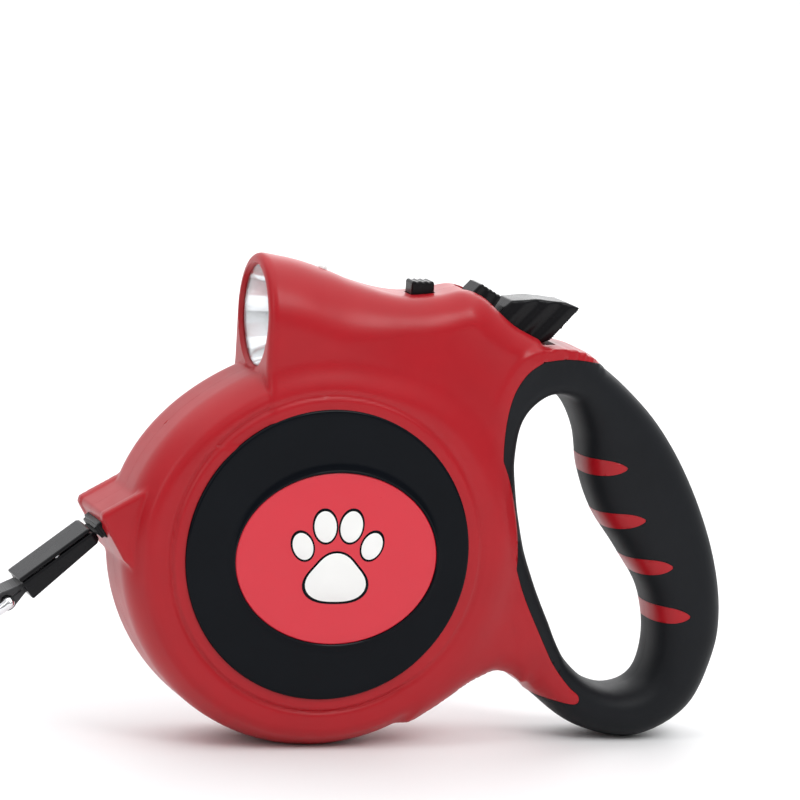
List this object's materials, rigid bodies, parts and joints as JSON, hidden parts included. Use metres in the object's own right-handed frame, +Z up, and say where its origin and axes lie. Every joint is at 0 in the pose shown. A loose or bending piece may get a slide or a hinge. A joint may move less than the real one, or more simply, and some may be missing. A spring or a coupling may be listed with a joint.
{
  "type": "retractable leash",
  "caption": "Retractable tape leash: a round spring-reel casing with a loop handle, thumb brake and lock, a built-in torch, and a swivel bolt hook.",
  "frame": {"origin": "on the ground, straight under the reel axle, on the seam plane between the casing halves", "axes": "+X from the reel to the handle, -X the way the tape leaves, +Z up; the left half of the casing is at -Y"},
  "size_m": [0.2418, 0.041, 0.137],
  "materials": {
    "shell_red": "satin moulded plastic with a soft sheen",
    "badge_red": "bright flat red print under a clear face",
    "disc_black": "high gloss black",
    "grip_rubber": "matte soft-touch rubber",
    "satin_black": "satin black moulded plastic",
    "webbing": "close-woven black nylon tape",
    "inner_plastic": "dark grey moulded plastic",
    "steel": "zinc-plated steel",
    "spring_steel": "bare spring steel",
    "hook_chrome": "bright nickel plate",
    "reflector": "vacuum-metallised reflector",
    "lens": "clear acrylic",
    "lamp_white": "milky white",
    "board_green": "solder-masked board",
    "contact_brass": "plated contact strip",
    "wire_cover": "plain wire cover"
  },
  "bodies": {
    "casing": {"left_shell": "shell_red", "right_shell": "shell_red", "left_grip_overmould": "grip_rubber", "right_grip_overmould": "grip_rubber", "left_finger_inlays": "shell_red", "right_finger_inlays": "shell_red", "left_side_disc": "disc_black", "right_side_disc": "disc_black", "left_badge": "badge_red", "right_badge": "badge_red", "casing_screws": "steel", "reel_axle": "steel", "nose_guide": "satin_black", "brake_spring": "spring_steel", "lock_detent_spring": "spring_steel", "torch_button_spring": "spring_steel", "torch_switch": "inner_plastic", "torch_reflector": "reflector", "torch_lens": "lens", "torch_led": "lamp_white", "led_board": "board_green", "power_lamp": "lamp_white", "battery_cells": "steel", "battery_contacts": "contact_brass", "torch_wires": "wire_cover", "battery_door": "shell_red", "battery_door_screw": "steel"},
    "reel": {"reel_spool": "inner_plastic", "spring_cup_cover": "inner_plastic", "tape_coil": "webbing", "mainspring": "spring_steel"},
    "tape_end": {"leash_tape": "webbing", "connector_top": "satin_black", "connector_bottom": "satin_black", "connector_rivets": "steel", "hook_strap_loop": "webbing"},
    "eye": {"swivel_eye": "hook_chrome"},
    "hook": {"swivel_rivet": "hook_chrome", "hook_body": "hook_chrome", "gate_spring": "spring_steel"},
    "gate": {"gate_bolt": "hook_chrome"},
    "brake": {"brake_button": "satin_black"},
    "pawl": {"brake_pawl": "inner_plastic"},
    "lock": {"lock_slider": "satin_black"},
    "torch_key": {"torch_button": "satin_black"}
  },
  "joints": [
    {"name": "reel_spin", "type": "hinge", "parent": "casing", "child": "reel", "pos_m": [0, 0, 0.0556], "axis": [0, -1, 0], "range_deg": [0, 8865], "stiffness_Nm_per_rad": 0.00084, "springref_deg": -8880.85},
    {"name": "tape_pull", "type": "slide", "parent": "casing", "child": "tape_end", "axis": [-0.7826, 0, -0.6225], "range_m": [0, 5]},
    {"name": "hook_pitch", "type": "hinge", "parent": "tape_end", "child": "eye", "pos_m": [-0.08663, 0, 0.03985], "axis": [0, 1, 0], "range_deg": [-50, 50]},
    {"name": "hook_swivel", "type": "hinge", "parent": "eye", "child": "hook", "pos_m": [-0.08663, 0, 0.03985], "axis": [-0.7547, 0, -0.6561], "continuous": true},
    {"name": "gate_slide", "type": "slide", "parent": "hook", "child": "gate", "axis": [0.7547, 0, 0.6561], "range_m": [0, 0.0065], "stiffness_N_per_m": 150, "springref_m": -0.004, "deforming": ["gate_spring"]},
    {"name": "brake_press", "type": "slide", "parent": "casing", "child": "brake", "axis": [-0.4033, 0, -0.9151], "range_m": [0, 0.0035], "stiffness_N_per_m": 900, "springref_m": -0.002},
    {"name": "pawl_slide", "type": "slide", "parent": "casing", "child": "pawl", "axis": [-0.7071, 0, -0.7071], "range_m": [0, 0.0038], "deforming": ["brake_spring"]},
    {"name": "lock_slide", "type": "slide", "parent": "casing", "child": "lock", "axis": [-0.852, 0, 0.5235], "range_m": [0, 0.003]},
    {"name": "torch_press", "type": "slide", "parent": "casing", "child": "torch_key", "axis": [0, 0, -1], "range_m": [0, 0.0015], "stiffness_N_per_m": 800, "springref_m": -0.001, "deforming": ["torch_button_spring"]}
  ],
  "couplings": [
    {"joint": "tape_pull", "follows": "reel_spin", "m_per_rad": 0.0323},
    {"joint": "pawl_slide", "follows": "brake_press", "ratio": 1.0727}
  ]
}
